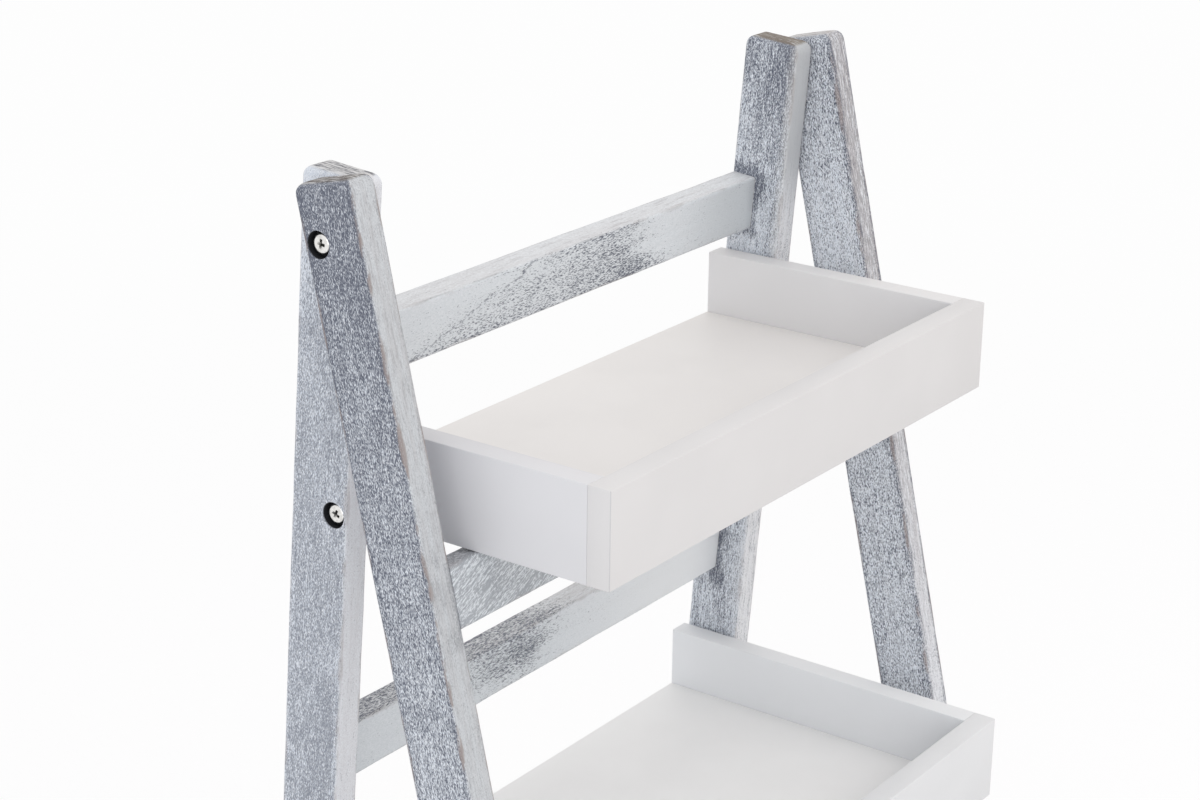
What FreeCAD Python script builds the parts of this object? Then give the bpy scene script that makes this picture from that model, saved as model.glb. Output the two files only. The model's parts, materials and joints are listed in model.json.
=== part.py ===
import FreeCAD, Part
import os
import re

import Sketcher

# Folding ladder shelf: two leg frames hinged near their tops, with trays that tilt on screws.
# +Z is up, +Y points to the back, and the origin lies on the floor in the middle of the footprint.

doc = FreeCAD.newDocument("LadderShelf")
sizes = doc.addObject("Spreadsheet::Sheet", "Sizes")

# Driving dimensions, in millimetres and degrees
driving = {
    # leg frames
    "leg_width": 40,
    "leg_thick": 19,
    "leg_head": 33,
    "head_round": 5,
    "edge_round": 1.5,
    "front_lean": 13.2,
    "rear_lean": 4.4,
    "hinge_edge": 9.5,
    "hinge_rise": 169,
    "rail_height": 36,
    "rail_thick": 18,
    "top_rail_gap": 16,
    "middle_rail_gap": 48,
    "bottom_rail_gap": 80,
    # trays
    "tray_clearance": 125,
    "tier_pitch": 285,
    "tray_width": 406,
    "tray_height": 57,
    "top_depth": 200,
    "middle_depth": 250,
    "bottom_depth": 300,
    "board_thick": 15,
    "board_round": 0.6,
    "tray_tail": 28.5,
    "pivot_edge": 9.5,
    # screws, washers and threaded inserts
    "screw_d": 5,
    "head_d": 10.4,
    "head_height": 3.8,
    "head_edge_round": 2,
    "recess_length": 5.6,
    "recess_slot": 1.4,
    "recess_depth": 2.2,
    "counterbore_d": 14.5,
    "counterbore_depth": 6,
    "insert_d": 8,
    "insert_length": 12,
    "hinge_washer": 1,
    "tray_washer": 2.5,
    "washer_d": 10,
    # dowels
    "rail_dowel_d": 8,
    "rail_dowel_length": 30,
    "rail_dowel_in_leg": 12,
    "rail_dowel_pitch": 18,
    "tray_dowel_d": 6,
    "tray_dowel_length": 24,
    "tray_dowel_in_face": 9,
    "tray_dowel_inset": 10,
    # clearances
    "running_gap": 0.08,
    "side_play": 0.2,
    "seat_gap": 0.3,
    "thread_gap": 0.1,
    "tip_gap": 0.5,
    "dowel_gap": 0.05,
}
for row, (name, number) in enumerate(driving.items(), start=1):
    sizes.set(f"A{row}", name)
    sizes.set(f"B{row}", str(number))
    sizes.setAlias(f"B{row}", name)
doc.recompute()

tiers = ["bottom", "middle", "top"]
left, right = -1, 1
rear, front = 1, -1


# Formulas are written with the names of the driving dimensions
def in_cells(formula):
    words = re.compile(r"[a-z]\w*")
    return words.sub(lambda word: f"Sizes.{word[0]}" if word[0] in driving else word[0], formula)


def bind(thing, prop, formula):
    thing.setExpression(prop, in_cells(formula))


def value(formula):
    return float(sizes.evalExpression(in_cells(formula)))


def signed(side, formula):
    return formula if side > 0 else f"-({formula})"


# Heights above the floor, and the faces of the legs from the middle of the shelf outwards
def tray_under(tier):
    return f"(tray_clearance + {tiers.index(tier)} * tier_pitch)"


hinge_height = f"({tray_under('top')} + hinge_rise)"
rear_inner = "(tray_width / 2 + tray_washer + side_play)"
rear_outer = f"({rear_inner} + leg_thick)"
front_inner = f"({rear_outer} + hinge_washer + side_play)"
front_outer = f"({front_inner} + leg_thick)"
far_edge = "(leg_width - hinge_edge)"


# The footprint is centred on the origin, so the hinge stands off by half the difference of the two reaches
def reach(lean):
    return f"({hinge_height} * tan({lean}) + {far_edge} / cos({lean}))"


hinge_y = f"(({reach('front_lean')} - {reach('rear_lean')}) / 2)"

# A frame is a place and a tilt. In a leg frame the hinge is the origin and Z runs up the leg.
rear_frame = (hinge_y, hinge_height, "rear_lean", rear)
front_frame = (hinge_y, hinge_height, "front_lean", front)


# Height in the rear frame of a point at a world height, at a distance behind the hinge axis
def up_rear_leg(world_z, behind):
    return f"(({world_z} - {hinge_height} - {behind} * sin(rear_lean)) / cos(rear_lean))"


pivot_behind = "(pivot_edge - hinge_edge)"


def pivot_height(tier):
    return f"({tray_under(tier)} + board_thick / 2)"


def pivot_up_leg(tier):
    return up_rear_leg(pivot_height(tier), pivot_behind)


def tray_frame(tier):
    pivot_y = f"{hinge_y} + {pivot_behind} * cos(rear_lean) - {pivot_up_leg(tier)} * sin(rear_lean)"
    return (pivot_y, pivot_height(tier), None, rear)


# Low edge of a rail in its leg frame. A rear rail keeps its distance above the tray's walls.
def rear_rail_low(tier):
    rail_low = f"({tray_under(tier)} + tray_height + {tier}_rail_gap)"
    return up_rear_leg(rail_low, f"({far_edge} - rail_thick)")


# A front rail carries the tray on its eased top front edge
def front_rail_low(tier):
    eased = "edge_round * (sin(front_lean) + cos(front_lean) - 1)"
    top = f"({tray_under(tier)} - seat_gap + {eased} - {hinge_height} - {far_edge} * sin(front_lean))"
    return f"({top} / cos(front_lean) - rail_height)"


# Document helpers
nodes = []
tolerance = 0.01


def place(thing, frame):
    y, z, lean, facing = frame
    if lean:
        axis = FreeCAD.Vector(facing, 0, 0)
        thing.Placement = FreeCAD.Placement(FreeCAD.Vector(), FreeCAD.Rotation(axis, value(lean)))
        bind(thing, "Placement.Rotation.Angle", lean)
    bind(thing, "Placement.Base.y", y)
    bind(thing, "Placement.Base.z", z)


def finished(thing, label, frame):
    thing.Label = label
    place(thing, frame)
    nodes.append(thing)


def new_body(label):
    return doc.addObject("PartDesign::Body", f"{label}_body")


def origin_feature(body, role):
    return next(feature for feature in body.Origin.OriginFeatures if feature.Role == role)


# A sketch on an origin plane, moved along the plane's normal
def new_sketch(body, name, role, offset):
    sketch = body.newObject("Sketcher::SketchObject", name)
    sketch.AttachmentSupport = [(origin_feature(body, role), "")]
    sketch.MapMode = "FlatFace"
    bind(sketch, "AttachmentOffset.Base.z", offset)
    return sketch


def pin(sketch, geometry, point, across, up):
    for kind, formula in (("DistanceX", across), ("DistanceY", up)):
        index = sketch.addConstraint(Sketcher.Constraint(kind, -1, 1, geometry, point, value(formula)))
        bind(sketch, f"Constraints[{index}]", formula)


def outline(sketch, corners):
    points = [FreeCAD.Vector(value(across), value(up), 0) for across, up in corners]
    for i, point in enumerate(points):
        sketch.addGeometry(Part.LineSegment(point, points[(i + 1) % len(points)]), False)
    for i, (across, up) in enumerate(corners):
        sketch.addConstraint(Sketcher.Constraint("Coincident", (i - 1) % len(points), 2, i, 1))
        pin(sketch, i, 1, across, up)


def box_corners(low_x, high_x, low_y, high_y):
    return [(low_x, low_y), (high_x, low_y), (high_x, high_y), (low_x, high_y)]


def pad(body, name, sketch, length):
    feature = body.newObject("PartDesign::Pad", name)
    feature.Profile = sketch
    bind(feature, "Length", length)
    doc.recompute()


def ease(body, name, radius, wanted):
    base = body.Tip
    edges = [f"Edge{i}" for i, edge in enumerate(base.Shape.Edges, start=1) if wanted(edge)]
    feature = body.newObject("PartDesign::Fillet", name)
    feature.Base = (base, edges)
    bind(feature, "Radius", radius)
    doc.recompute()


def along_x(edge):
    return abs(edge.tangentAt(edge.FirstParameter).x) > 1 - tolerance


# Round holes from a face. "toward" is the direction of the cut along the sketch plane's normal.
def drill(body, name, role, face, centres, diameter, depth, toward):
    sketch = new_sketch(body, f"{name}Centres", role, face)
    for i, (across, up) in enumerate(centres):
        centre = FreeCAD.Vector(value(across), value(up), 0)
        sketch.addGeometry(Part.Circle(centre, FreeCAD.Vector(0, 0, 1), value(diameter) / 2), False)
        pin(sketch, i, 3, across, up)
        index = sketch.addConstraint(Sketcher.Constraint("Diameter", i, value(diameter)))
        bind(sketch, f"Constraints[{index}]", diameter)
    cut_pocket(body, name, sketch, depth, toward)


def cut_pocket(body, name, sketch, depth, toward):
    before = body.Shape.Volume
    pocket = body.newObject("PartDesign::Pocket", name)
    pocket.Profile = sketch
    pocket.Reversed = toward > 0
    bind(pocket, "Length", depth)
    doc.recompute()
    if body.Shape.Volume >= before:
        raise RuntimeError(f"{body.Name}: {name} cuts nothing")


# Frames: legs and rails
rail_dowel_hole = "rail_dowel_d + 2 * dowel_gap"
running_hole = "screw_d + 2 * running_gap"
insert_hole = "insert_d + 2 * dowel_gap"
insert_hole_depth = "insert_length + tip_gap"
threaded_bore = "screw_d + 2 * thread_gap"
on_axis = [("0", "0")]


def rail_across(facing):
    return signed(facing, f"{far_edge} - rail_thick / 2")


def rail_dowel_centres(facing, rail_low):
    lower = f"{rail_low} + rail_height / 2 - rail_dowel_pitch / 2"
    return [(rail_across(facing), lower), (rail_across(facing), f"{lower} + rail_dowel_pitch")]


def leg(label, side, frame, inner, rails):
    lean, facing = frame[2:]
    near_y = signed(-facing, "hinge_edge")
    far_y = signed(facing, far_edge)
    near_foot = f"-({hinge_height} - hinge_edge * sin({lean})) / cos({lean})"
    far_foot = f"-({hinge_height} + {far_edge} * sin({lean})) / cos({lean})"
    body = new_body(label)
    low_x = inner if side > 0 else f"-({inner} + leg_thick)"
    sketch = new_sketch(body, "SideView", "YZ_Plane", low_x)
    outline(sketch, [(near_y, near_foot), (far_y, far_foot), (far_y, "leg_head"), (near_y, "leg_head")])
    pad(body, "Leg", sketch, "leg_thick")
    ease(body, "RoundedHead", "head_round", lambda edge: along_x(edge) and edge.CenterOfMass.z > 0)
    above_foot = value(near_foot) + tolerance
    long_edge = lambda edge: not along_x(edge) and edge.BoundBox.ZMax > above_foot
    ease(body, "EasedEdges", "edge_round", long_edge)
    centres = [centre for rail_low in rails for centre in rail_dowel_centres(facing, rail_low)]
    depth = "rail_dowel_in_leg + dowel_gap"
    drill(body, "RailDowelHoles", "YZ_Plane", signed(side, inner), centres, rail_dowel_hole, depth, side)
    return body


def rear_leg(label, side):
    body = leg(label, side, rear_frame, rear_inner, [rear_rail_low(tier) for tier in tiers])
    outer = signed(side, rear_outer)
    pivots = [(pivot_behind, pivot_up_leg(tier)) for tier in tiers]
    drill(body, "PivotCounterbores", "YZ_Plane", outer, pivots, "counterbore_d", "counterbore_depth", -side)
    drill(body, "PivotHoles", "YZ_Plane", outer, pivots, running_hole, "leg_thick + side_play", -side)
    drill(body, "HingeInsertHole", "YZ_Plane", outer, on_axis, insert_hole, insert_hole_depth, -side)
    finished(body, label, rear_frame)


def front_leg(label, side):
    body = leg(label, side, front_frame, front_inner, [front_rail_low(tier) for tier in tiers])
    outer = signed(side, front_outer)
    drill(body, "Counterbore", "YZ_Plane", outer, on_axis, "counterbore_d", "counterbore_depth", -side)
    drill(body, "HingeHole", "YZ_Plane", outer, on_axis, running_hole, "leg_thick + side_play", -side)
    finished(body, label, front_frame)


def rail(label, frame, inner, rail_low):
    facing = frame[3]
    body = new_body(label)
    sketch = new_sketch(body, "EndView", "YZ_Plane", f"-({inner})")
    face_y = signed(facing, far_edge)
    back_y = signed(facing, f"{far_edge} - rail_thick")
    outline(sketch, box_corners(back_y, face_y, rail_low, f"{rail_low} + rail_height"))
    pad(body, "Rail", sketch, f"2 * {inner}")
    ease(body, "EasedEdges", "edge_round", along_x)
    depth = "rail_dowel_length - rail_dowel_in_leg + dowel_gap"
    centres = rail_dowel_centres(facing, rail_low)
    for side, name in ((left, "LeftDowelHoles"), (right, "RightDowelHoles")):
        end = signed(side, inner)
        drill(body, name, "YZ_Plane", end, centres, rail_dowel_hole, depth, -side)
    finished(body, label, frame)


# Round pieces along X or Y, grouped where they are alike
turns = {
    "X": FreeCAD.Rotation(FreeCAD.Vector(0, 1, 0), 90),
    "Y": FreeCAD.Rotation(FreeCAD.Vector(1, 0, 0), -90),
}


def cylinder(name, axis, start, diameter, length):
    rod = doc.addObject("Part::Cylinder", name)
    rod.Placement = FreeCAD.Placement(FreeCAD.Vector(), turns[axis])
    bind(rod, "Radius", f"({diameter}) / 2")
    bind(rod, "Height", length)
    for letter, formula in zip("xyz", start):
        bind(rod, f"Placement.Base.{letter}", formula)
    return rod


def mirrored(name, source):
    twin = doc.addObject("Part::Mirroring", name)
    twin.Source = source
    twin.Normal = FreeCAD.Vector(1, 0, 0)
    return twin


def group(label, members, frame):
    compound = doc.addObject("Part::Compound", f"{label}_group")
    compound.Links = members
    doc.recompute()
    finished(compound, label, frame)


def rail_dowels(label, frame, inner, rails):
    rods = []
    for rail_low in rails:
        for across, up in rail_dowel_centres(frame[3], rail_low):
            start = (f"-({inner} + rail_dowel_in_leg)", across, up)
            rod = cylinder("rail_dowel", "X", start, "rail_dowel_d", "rail_dowel_length")
            rods += [rod, mirrored("rail_dowel_right", rod)]
    group(label, rods, frame)


def sleeve_pair(label, frame, outer_x, length, outside_d):
    start = (f"-({outer_x})", "0", "0")
    ring = doc.addObject("Part::Cut", f"{label}_left")
    ring.Base = cylinder(f"{label}_blank", "X", start, outside_d, length)
    ring.Tool = cylinder(f"{label}_bore", "X", start, threaded_bore, length)
    group(label, [ring, mirrored(f"{label}_right", ring)], frame)


# Pan-head screws with a cross recess, head outwards
def screw_pair(label, frame, outer_face, grip):
    shank_end = f"({grip} + insert_length - tip_gap)"
    shank_r = "screw_d / 2"
    head_r = "head_d / 2"
    body = new_body(label)
    profile = new_sketch(body, "HalfSection", "XZ_Plane", "0")
    head_top = "-head_height"
    shank_side = [(shank_end, "0"), (shank_end, shank_r), ("0", shank_r)]
    outline(profile, [(head_top, "0")] + shank_side + [("0", head_r), (head_top, head_r)])
    turned = body.newObject("PartDesign::Revolution", "TurnedScrew")
    turned.Profile = profile
    turned.ReferenceAxis = (origin_feature(body, "X_Axis"), [""])
    turned.Angle = 360
    doc.recompute()
    crown = value(head_top) + tolerance
    ease(body, "DomedHead", "head_edge_round", lambda edge: edge.BoundBox.XMax < crown)
    recess = new_sketch(body, "CrossRecess", "YZ_Plane", head_top)
    arm = "recess_length / 2"
    slot = "recess_slot / 2"
    quarter = [(arm, f"-{slot}"), (arm, slot), (slot, slot)]
    turned_once = [(f"-({up})", across) for across, up in quarter]
    half = quarter + turned_once
    outline(recess, half + [(f"-({across})", f"-({up})") for across, up in half])
    cut_pocket(body, "Recess", recess, "recess_depth", right)
    bind(body, "Placement.Base.x", f"-({outer_face} - counterbore_depth + side_play)")
    group(label, [body, mirrored(f"{label}_right", body)], frame)


# Trays: the front board laps the sides, and the floor lies between them
def tray_board(label, low_x, high_x, low_y, high_y, top):
    body = new_body(label)
    sketch = new_sketch(body, "TopView", "XY_Plane", "-board_thick / 2")
    outline(sketch, box_corners(low_x, high_x, low_y, high_y))
    pad(body, "Board", sketch, top)
    ease(body, "EasedEdges", "board_round", lambda edge: True)
    return body


def tray(tier):
    frame = tray_frame(tier)
    name = f"{tier}_tray"
    half = "tray_width / 2"
    inside = f"({half} - board_thick)"
    front_face = f"(tray_tail - {tier}_depth)"
    front_back = f"({front_face} + board_thick)"
    wall_top = "(tray_height - board_thick / 2)"
    hole_d = "tray_dowel_d + 2 * dowel_gap"
    in_face = "tray_dowel_in_face + dowel_gap"
    in_end = "tray_dowel_length - tray_dowel_in_face + dowel_gap"

    # Dowel places: across and up on the front board's back, and back and up on the sides' inner faces
    corner_heights = ["board_thick / 2 + tray_dowel_inset", f"{wall_top} - tray_dowel_inset"]
    corner_dowels = {
        side: [(signed(side, f"{half} - board_thick / 2"), height) for height in corner_heights]
        for side in (left, right)
    }
    rear_place = "tray_tail - tray_dowel_inset"
    front_place = f"{front_back} + tray_dowel_length + tray_dowel_inset"
    middle_place = f"({rear_place} + {front_place}) / 2"
    floor_side_dowels = [(place_y, "0") for place_y in (front_place, middle_place, rear_place)]
    floor_front_x = f"{inside} - tray_dowel_length - tray_dowel_inset"
    floor_front_dowels = [(f"-({floor_front_x})", "0"), ("0", "0"), (floor_front_x, "0")]

    # On the XZ plane the sketch normal points to -Y, so a face at y lies at an offset of -y
    back_of_front = f"-({front_back})"
    for side, word in ((left, "left"), (right, "right")):
        low_x, high_x = (inside, half) if side > 0 else (f"-({half})", f"-{inside}")
        board = tray_board(f"{name}_{word}_side", low_x, high_x, front_back, "tray_tail", "tray_height")
        drill(board, "FrontDowels", "XZ_Plane", back_of_front, corner_dowels[side], hole_d, in_end, left)
        inner_face, outer_face = signed(side, inside), signed(side, half)
        drill(board, "FloorDowelHoles", "YZ_Plane", inner_face, floor_side_dowels, hole_d, in_face, side)
        drill(board, "PivotInsert", "YZ_Plane", outer_face, on_axis, insert_hole, insert_hole_depth, -side)
        finished(board, f"{name}_{word}_side", frame)

    board = tray_board(f"{name}_front_board", f"-({half})", half, front_face, front_back, "tray_height")
    centres = corner_dowels[left] + corner_dowels[right] + floor_front_dowels
    drill(board, "DowelHoles", "XZ_Plane", back_of_front, centres, hole_d, in_face, right)
    finished(board, f"{name}_front_board", frame)

    board = tray_board(f"{name}_floor", f"-{inside}", inside, front_back, "tray_tail", "board_thick")
    drill(board, "FrontDowelHoles", "XZ_Plane", back_of_front, floor_front_dowels, hole_d, in_end, left)
    for side, word in ((left, "Left"), (right, "Right")):
        edge_face = signed(side, inside)
        drill(board, f"{word}DowelHoles", "YZ_Plane", edge_face, floor_side_dowels, hole_d, in_end, -side)
    finished(board, f"{name}_floor", frame)

    rods = []
    for across, up in corner_dowels[left] + corner_dowels[right] + floor_front_dowels:
        start = (across, f"{front_back} - tray_dowel_in_face", up)
        rods.append(cylinder("front_dowel", "Y", start, "tray_dowel_d", "tray_dowel_length"))
    for back, up in floor_side_dowels:
        start = (f"-({inside} + tray_dowel_in_face)", back, up)
        rod = cylinder("floor_dowel", "X", start, "tray_dowel_d", "tray_dowel_length")
        rods += [rod, mirrored("floor_dowel_right", rod)]
    group(f"{name}_dowels", rods, frame)

    grip = "(leg_thick - counterbore_depth + tray_washer + 2 * side_play)"
    screw_pair(f"{name}_pivot_screws", frame, rear_outer, grip)
    sleeve_pair(f"{name}_pivot_washers", frame, f"{half} + tray_washer", "tray_washer", "washer_d")
    sleeve_pair(f"{name}_pivot_inserts", frame, half, "insert_length", "insert_d")


# The rear frame
rear_leg("left_rear_leg", left)
rear_leg("right_rear_leg", right)
for tier in tiers:
    rail(f"{tier}_rear_rail", rear_frame, rear_inner, rear_rail_low(tier))
rail_dowels("rear_rail_dowels", rear_frame, rear_inner, [rear_rail_low(tier) for tier in tiers])

# The front frame
front_leg("left_front_leg", left)
front_leg("right_front_leg", right)
for tier in tiers:
    rail(f"{tier}_front_rail", front_frame, front_inner, front_rail_low(tier))
rail_dowels("front_rail_dowels", front_frame, front_inner, [front_rail_low(tier) for tier in tiers])

# The hinge: each screw turns into an insert in a rear leg, and the front leg swings on the screw
hinge_grip = "(leg_thick - counterbore_depth + hinge_washer + 2 * side_play)"
screw_pair("hinge_screws", rear_frame, front_outer, hinge_grip)
sleeve_pair("hinge_washers", rear_frame, f"{rear_outer} + hinge_washer", "hinge_washer", "washer_d")
sleeve_pair("hinge_inserts", rear_frame, rear_outer, "insert_length", "insert_d")

for tier in tiers:
    tray(tier)

doc.recompute()
for thing in doc.Objects:
    if "Invalid" in thing.State or "Error" in thing.State:
        raise RuntimeError(f"{thing.Label} failed: {thing.State}")
for node in nodes:
    if node.Shape.isNull() or not node.Shape.isValid():
        raise RuntimeError(f"{node.Label} has no valid shape")

os.makedirs("parts", exist_ok=True)
for node in nodes:
    node.Shape.exportStep(f"parts/{node.Label}.step")
    print(node.Label, len(node.Shape.Solids), "solids", round(node.Shape.Volume / 1000, 2), "cm3")
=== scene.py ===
import json
import math

import bmesh
import bpy
from mathutils import Matrix, Vector

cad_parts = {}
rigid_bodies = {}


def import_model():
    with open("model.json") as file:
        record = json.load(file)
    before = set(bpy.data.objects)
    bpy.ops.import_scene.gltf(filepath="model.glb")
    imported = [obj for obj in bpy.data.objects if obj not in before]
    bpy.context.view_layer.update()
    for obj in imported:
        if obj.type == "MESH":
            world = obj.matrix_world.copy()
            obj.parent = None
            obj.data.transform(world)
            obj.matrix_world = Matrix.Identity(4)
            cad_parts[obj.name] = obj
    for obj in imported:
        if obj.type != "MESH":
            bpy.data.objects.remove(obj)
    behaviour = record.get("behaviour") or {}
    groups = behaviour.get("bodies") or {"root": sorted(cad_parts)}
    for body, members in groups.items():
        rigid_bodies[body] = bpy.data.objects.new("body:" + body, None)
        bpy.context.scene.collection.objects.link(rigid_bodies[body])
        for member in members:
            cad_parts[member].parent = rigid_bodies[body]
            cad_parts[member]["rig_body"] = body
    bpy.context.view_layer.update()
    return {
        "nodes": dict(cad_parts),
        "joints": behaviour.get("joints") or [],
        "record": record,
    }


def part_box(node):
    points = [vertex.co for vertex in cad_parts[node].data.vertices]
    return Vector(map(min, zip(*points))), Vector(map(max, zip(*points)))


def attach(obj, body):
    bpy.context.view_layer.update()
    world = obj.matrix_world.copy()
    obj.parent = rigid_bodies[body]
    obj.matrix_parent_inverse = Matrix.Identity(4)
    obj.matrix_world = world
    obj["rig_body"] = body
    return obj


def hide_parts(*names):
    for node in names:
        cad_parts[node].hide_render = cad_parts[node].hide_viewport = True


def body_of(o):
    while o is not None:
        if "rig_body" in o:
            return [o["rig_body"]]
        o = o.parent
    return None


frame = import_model()
mm = 0.001
outward = {"left": -1, "right": 1}
tiers = ["bottom", "middle", "top"]
jointAt = {joint["name"]: Vector(joint["pos_m"]) for joint in frame["joints"]}
hinge = jointAt["frame_fold"]
print("frame loaded:", len(frame["nodes"]), "CAD nodes")


# node trees: one call adds a node, sets its properties, and fills or links its inputs
def addNode(tree, kind, inputs=None, **settings):
    node = tree.nodes.new(kind)
    for name, value in settings.items():
        setattr(node, name, value)
    for key, value in (inputs or {}).items():
        if isinstance(value, bpy.types.NodeSocket):
            tree.links.new(value, node.inputs[key])
        else:
            node.inputs[key].default_value = value
    return node


def calc(tree, operation, *values, clamp=False):
    inputs = dict(enumerate(values))
    return addNode(tree, "ShaderNodeMath", inputs, operation=operation, use_clamp=clamp).outputs[0]


def plus(tree, value, added):
    return calc(tree, "ADD", value, added)


def minus(tree, value, taken):
    return calc(tree, "SUBTRACT", value, taken)


def over(tree, value, divisor):
    return calc(tree, "DIVIDE", value, divisor)


def times(tree, *factors):
    whole = factors[0]
    for factor in factors[1:]:
        whole = calc(tree, "MULTIPLY", whole, factor)
    return whole


# base plus a share of value
def plusShare(tree, base, value, share):
    return calc(tree, "MULTIPLY_ADD", value, share, base)


def ramp(tree, value, low, high, newLow=0.0, newHigh=1.0):
    inputs = {"Value": value, "From Min": low, "From Max": high, "To Min": newLow, "To Max": newHigh}
    return addNode(tree, "ShaderNodeMapRange", inputs, interpolation_type="SMOOTHSTEP").outputs["Result"]


def vectorCalc(tree, operation, *values):
    outputs = addNode(tree, "ShaderNodeVectorMath", dict(enumerate(values)), operation=operation).outputs
    return outputs["Value"] if operation == "LENGTH" else outputs["Vector"]


def scaledVector(tree, value, factor):
    return addNode(tree, "ShaderNodeVectorMath", {0: value, 3: factor}, operation="SCALE").outputs["Vector"]


def vector(tree, x, y, z):
    return addNode(tree, "ShaderNodeCombineXYZ", {0: x, 1: y, 2: z}).outputs[0]


def splitPosition(tree):
    position = addNode(tree, "GeometryNodeInputPosition").outputs[0]
    return addNode(tree, "ShaderNodeSeparateXYZ", {0: position}).outputs


def setPosition(tree, geometry, x, y, z):
    inputs = {"Geometry": geometry, "Position": vector(tree, x, y, z)}
    return addNode(tree, "GeometryNodeSetPosition", inputs).outputs[0]


# keeps a value on the points of a mesh, for its material to read
def storeNote(tree, geometry, name, value, kind="FLOAT"):
    inputs = {"Geometry": geometry, "Name": name, "Value": value}
    node = addNode(tree, "GeometryNodeStoreNamedAttribute", inputs, data_type=kind, domain="POINT")
    return node.outputs[0]


def endTree(tree, geometry, material, socket):
    plain = addNode(tree, "GeometryNodeRealizeInstances", {0: geometry}).outputs[0]
    dressed = addNode(tree, "GeometryNodeSetMaterial", {"Geometry": plain, "Material": material})
    tree.links.new(dressed.outputs[0], socket)


def blendColour(tree, factor, first, second):
    colours = [c if isinstance(c, bpy.types.NodeSocket) else (*c, 1) for c in (first, second)]
    inputs = {0: factor, 6: colours[0], 7: colours[1]}
    return addNode(tree, "ShaderNodeMix", inputs, data_type="RGBA").outputs[2]


# how far a surface draws in at a distance from its end, for a quarter round
def quarterRound(tree, gap, radius):
    short = calc(tree, "MAXIMUM", minus(tree, radius, gap), 0.0)
    left = minus(tree, times(tree, radius, radius), times(tree, short, short))
    return minus(tree, radius, calc(tree, "SQRT", calc(tree, "MAXIMUM", left, 0.0)))


# a group's inputs are given by their kind, or by a number that is their default
def newGroup(name, kind, inputs, outputs):
    tree = bpy.data.node_groups.new(name, kind)
    for title, given in inputs.items():
        numberKind = {float: "Float", int: "Int"}.get(type(given))
        socketType = "NodeSocket" + (numberKind or given)
        socket = tree.interface.new_socket(title, in_out="INPUT", socket_type=socketType)
        if numberKind:
            socket.default_value = given
    for title, socketKind in outputs.items():
        tree.interface.new_socket(title, in_out="OUTPUT", socket_type="NodeSocket" + socketKind)
    return tree, tree.nodes.new("NodeGroupInput").outputs, tree.nodes.new("NodeGroupOutput").inputs


def useGroup(tree, group, inputs):
    return addNode(tree, "ShaderNodeGroup", inputs, node_tree=group).outputs


def linkOut(tree, out, values):
    for name, value in values.items():
        tree.links.new(value, out[name])


# noise on scaled coordinates: waves are per millimetre along x, y and z
def stretchedNoise(tree, coord, waves, detail, roughness, distortion=0.0, shift=0.0):
    scale = tuple(wave / mm for wave in waves)
    placed = {"Vector": coord, "Location": (shift, shift, shift), "Scale": scale}
    spot = addNode(tree, "ShaderNodeMapping", placed).outputs[0]
    grain = {"Vector": spot, "Scale": 1.0, "Detail": detail, "Roughness": roughness, "Distortion": distortion}
    return addNode(tree, "ShaderNodeTexNoise", grain).outputs["Fac"]


# an object whose modifiers make a mesh, and the plain mesh that they give
def newMaker(name):
    maker = bpy.data.objects.new(name + "Maker", bpy.data.meshes.new(name + "Start"))
    bpy.context.scene.collection.objects.link(maker)
    return maker


def plainMesh(maker, name):
    graph = bpy.context.evaluated_depsgraph_get()
    mesh = bpy.data.meshes.new_from_object(maker.evaluated_get(graph), depsgraph=graph)
    start = maker.data
    maker.modifiers.clear()
    bpy.data.objects.remove(maker)
    bpy.data.meshes.remove(start)
    mesh.name = name
    return mesh


# runs a geometry tree on a mesh of loose points
def runTree(name, tree, points, values):
    maker = newMaker(name)
    maker.data.from_pydata([tuple(point) for point in points], [], [])
    modifier = maker.modifiers.new("tree", "NODES")
    modifier.node_group = tree
    for item in tree.interface.items_tree:
        if item.in_out == "INPUT" and item.name in values:
            modifier[item.identifier] = values[item.name]
    return plainMesh(maker, name)


# closes seams, turns faces outwards and keeps creases sharper than the angle
def tidyMesh(mesh, creaseAngle, mergeGap=0.004 * mm):
    work = bmesh.new()
    work.from_mesh(mesh)
    bmesh.ops.remove_doubles(work, verts=work.verts, dist=mergeGap)
    bmesh.ops.recalc_face_normals(work, faces=work.faces)
    work.to_mesh(mesh)
    work.free()
    mesh.shade_smooth()
    mesh.set_sharp_from_angle(angle=math.radians(creaseAngle))


def addPiece(name, mesh, node):
    piece = bpy.data.objects.new(name, mesh)
    bpy.context.scene.collection.objects.link(piece)
    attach(piece, body_of(frame["nodes"][node])[0])
    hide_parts(node)


# camera at the photo's place: metres, degrees, and a lens for a 36 mm wide frame
cameraView = {
    "eye": (-1.1960, -0.7961, 1.2410),
    "azimuth": -54.316,
    "elevation": 19.832,
    "roll": 0.745,
    "lens": 76.779,
    "sensorWidth": 36.0,
}


def placeCamera():
    camera = bpy.data.cameras.new("photoCamera")
    camera.lens = cameraView["lens"]
    camera.sensor_width = cameraView["sensorWidth"]
    holder = bpy.data.objects.new("photoCamera", camera)
    turn = Matrix.Rotation(math.radians(cameraView["azimuth"]), 4, "Z")
    tilt = Matrix.Rotation(math.radians(90 - cameraView["elevation"]), 4, "X")
    roll = Matrix.Rotation(math.radians(cameraView["roll"]), 4, "Z")
    holder.matrix_world = Matrix.Translation(cameraView["eye"]) @ turn @ tilt @ roll
    bpy.context.scene.collection.objects.link(holder)
    bpy.context.scene.camera = holder


placeCamera()
print("camera placed")


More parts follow.
